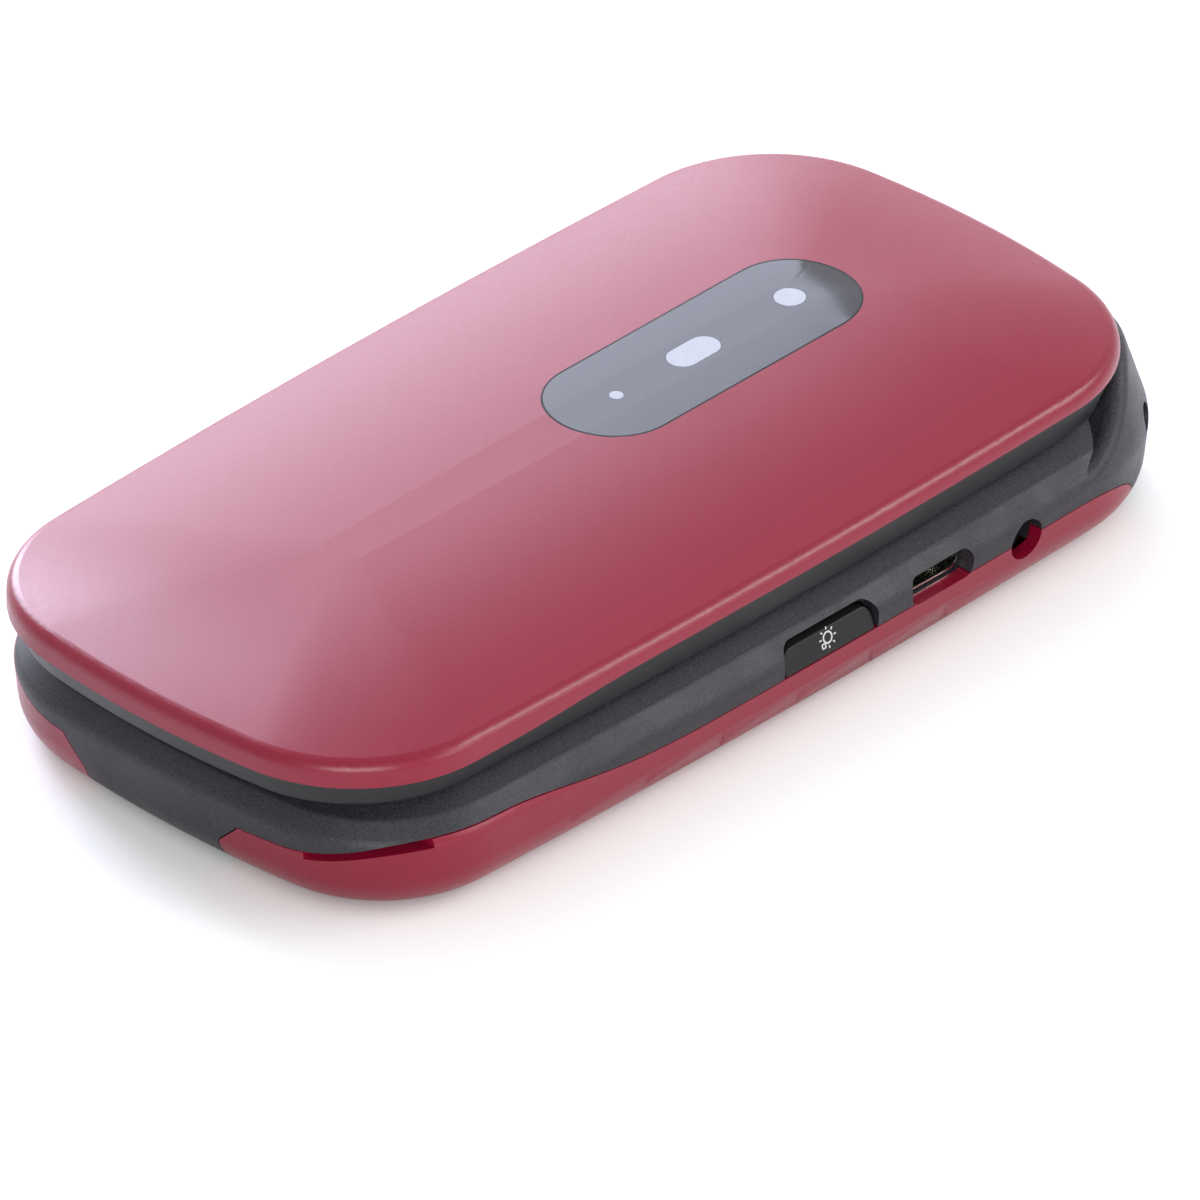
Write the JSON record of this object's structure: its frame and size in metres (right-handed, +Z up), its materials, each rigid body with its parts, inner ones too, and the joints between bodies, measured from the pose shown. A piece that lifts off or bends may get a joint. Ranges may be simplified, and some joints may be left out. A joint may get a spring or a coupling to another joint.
{
  "type": "flip phone",
  "caption": "Clamshell mobile phone, closed, with a crowned lid and camera plate that opens on a barrel hinge over a keypad, side keys and two sockets.",
  "frame": {"origin": "middle of the plan, on the surface the closed phone lies on", "axes": "+Z up out of the lid, +Y towards the hinge, +X the side with the light key and the sockets"},
  "size_m": [0.0552, 0.1097, 0.0202],
  "materials": {
    "red_paint": "soft-touch satin red",
    "black_frame": "fine-grained satin black",
    "keys": "satin dark grey",
    "metal_ring": "satin grey",
    "camera_plate": "glossy blue-grey",
    "clear_lens": "clear window",
    "black_plastic": "black moulded plastic",
    "board": "circuit board",
    "display": "dark display",
    "led": "flash lamp",
    "steel": "plain steel",
    "battery_wrap": "wrapped cell",
    "gold": "gilt contact",
    "rubber": "soft rubber"
  },
  "bodies": {
    "base": {"base_frame": "black_frame", "rear_cover": "red_paint", "mid_chassis": "steel", "main_board": "board", "dome_sheet": "board", "battery": "battery_wrap", "battery_contacts": "black_plastic", "card_holder": "black_plastic", "usb_connector": "steel", "audio_jack": "black_plastic", "charging_contacts": "gold", "loudspeaker": "black_plastic", "vibration_motor": "steel", "microphone": "steel", "antenna": "black_plastic", "side_switches": "black_plastic", "priority_switch": "black_plastic", "hinge_shaft": "steel", "hinge_pin": "steel", "base_screws": "steel"},
    "lid": {"lid_outer_cover": "red_paint", "lid_inner_frame": "black_frame", "hinge_barrel": "black_frame", "hinge_cartridge": "steel", "flex_cable_coil": "board", "camera_plate": "camera_plate", "camera_window": "clear_lens", "flash_lens": "clear_lens", "indicator_light": "clear_lens", "camera_module": "black_plastic", "flash_led": "led", "lid_board": "board", "display_module": "display", "display_window": "clear_lens", "earpiece_grille": "steel", "earpiece_speaker": "black_plastic", "lid_screws": "steel", "lid_bumpers": "rubber"},
    "key_1_body": {"key_1": "keys"},
    "key_2_body": {"key_2": "keys"},
    "key_3_body": {"key_3": "keys"},
    "key_4_body": {"key_4": "keys"},
    "key_5_body": {"key_5": "keys"},
    "key_6_body": {"key_6": "keys"},
    "key_7_body": {"key_7": "keys"},
    "key_8_body": {"key_8": "keys"},
    "key_9_body": {"key_9": "keys"},
    "key_star_body": {"key_star": "keys"},
    "key_0_body": {"key_0": "keys"},
    "key_hash_body": {"key_hash": "keys"},
    "key_soft_left_body": {"key_soft_left": "keys"},
    "key_soft_right_body": {"key_soft_right": "keys"},
    "key_call_body": {"key_call": "keys"},
    "key_end_body": {"key_end": "keys"},
    "key_ok_body": {"key_ok": "keys"},
    "navigation_ring_body": {"navigation_ring": "metal_ring"},
    "light_key_body": {"light_key": "black_frame"},
    "volume_rocker_body": {"volume_rocker": "black_frame"},
    "priority_key_body": {"priority_key": "black_frame"},
    "vibration_weight_body": {"vibration_weight": "steel"}
  },
  "joints": [
    {"name": "lid_hinge", "type": "hinge", "parent": "base", "child": "lid", "pos_m": [0, 0.0486, 0.009], "axis": [-1, 0, 0], "range_deg": [0, 150]},
    {"name": "key_1_press", "type": "slide", "parent": "base", "child": "key_1_body", "axis": [0, 0, -1], "range_m": [0, 0.00035], "stiffness_N_per_m": 800},
    {"name": "key_2_press", "type": "slide", "parent": "base", "child": "key_2_body", "axis": [0, 0, -1], "range_m": [0, 0.00035], "stiffness_N_per_m": 800},
    {"name": "key_3_press", "type": "slide", "parent": "base", "child": "key_3_body", "axis": [0, 0, -1], "range_m": [0, 0.00035], "stiffness_N_per_m": 800},
    {"name": "key_4_press", "type": "slide", "parent": "base", "child": "key_4_body", "axis": [0, 0, -1], "range_m": [0, 0.00035], "stiffness_N_per_m": 800},
    {"name": "key_5_press", "type": "slide", "parent": "base", "child": "key_5_body", "axis": [0, 0, -1], "range_m": [0, 0.00035], "stiffness_N_per_m": 800},
    {"name": "key_6_press", "type": "slide", "parent": "base", "child": "key_6_body", "axis": [0, 0, -1], "range_m": [0, 0.00035], "stiffness_N_per_m": 800},
    {"name": "key_7_press", "type": "slide", "parent": "base", "child": "key_7_body", "axis": [0, 0, -1], "range_m": [0, 0.00035], "stiffness_N_per_m": 800},
    {"name": "key_8_press", "type": "slide", "parent": "base", "child": "key_8_body", "axis": [0, 0, -1], "range_m": [0, 0.00035], "stiffness_N_per_m": 800},
    {"name": "key_9_press", "type": "slide", "parent": "base", "child": "key_9_body", "axis": [0, 0, -1], "range_m": [0, 0.00035], "stiffness_N_per_m": 800},
    {"name": "key_star_press", "type": "slide", "parent": "base", "child": "key_star_body", "axis": [0, 0, -1], "range_m": [0, 0.00035], "stiffness_N_per_m": 800},
    {"name": "key_0_press", "type": "slide", "parent": "base", "child": "key_0_body", "axis": [0, 0, -1], "range_m": [0, 0.00035], "stiffness_N_per_m": 800},
    {"name": "key_hash_press", "type": "slide", "parent": "base", "child": "key_hash_body", "axis": [0, 0, -1], "range_m": [0, 0.00035], "stiffness_N_per_m": 800},
    {"name": "key_soft_left_press", "type": "slide", "parent": "base", "child": "key_soft_left_body", "axis": [0, 0, -1], "range_m": [0, 0.00035], "stiffness_N_per_m": 800},
    {"name": "key_soft_right_press", "type": "slide", "parent": "base", "child": "key_soft_right_body", "axis": [0, 0, -1], "range_m": [0, 0.00035], "stiffness_N_per_m": 800},
    {"name": "key_call_press", "type": "slide", "parent": "base", "child": "key_call_body", "axis": [0, 0, -1], "range_m": [0, 0.00035], "stiffness_N_per_m": 800},
    {"name": "key_end_press", "type": "slide", "parent": "base", "child": "key_end_body", "axis": [0, 0, -1], "range_m": [0, 0.00035], "stiffness_N_per_m": 800},
    {"name": "key_ok_press", "type": "slide", "parent": "base", "child": "key_ok_body", "axis": [0, 0, -1], "range_m": [0, 0.00035], "stiffness_N_per_m": 800},
    {"name": "navigation_ring_tilt", "type": "hinge", "parent": "base", "child": "navigation_ring_body", "pos_m": [0, 0.0238, 0.009], "axis": [1, 0, 0], "range_deg": [-1.8, 1.8], "stiffness_Nm_per_rad": 0.05},
    {"name": "light_key_press", "type": "slide", "parent": "base", "child": "light_key_body", "axis": [-1, 0, 0], "range_m": [0, 0.0004], "stiffness_N_per_m": 800},
    {"name": "volume_rocker_tilt", "type": "hinge", "parent": "base", "child": "volume_rocker_body", "pos_m": [-0.0256, 0.008, 0.0075], "axis": [0, 0, 1], "range_deg": [-1.5, 1.5], "stiffness_Nm_per_rad": 0.05},
    {"name": "priority_key_press", "type": "slide", "parent": "base", "child": "priority_key_body", "axis": [0, 0, 1], "range_m": [0, 0.0003], "stiffness_N_per_m": 800},
    {"name": "vibration_weight_spin", "type": "hinge", "parent": "base", "child": "vibration_weight_body", "pos_m": [0.0155, 0.0366, 0.0036], "axis": [1, 0, 0], "continuous": true}
  ]
}
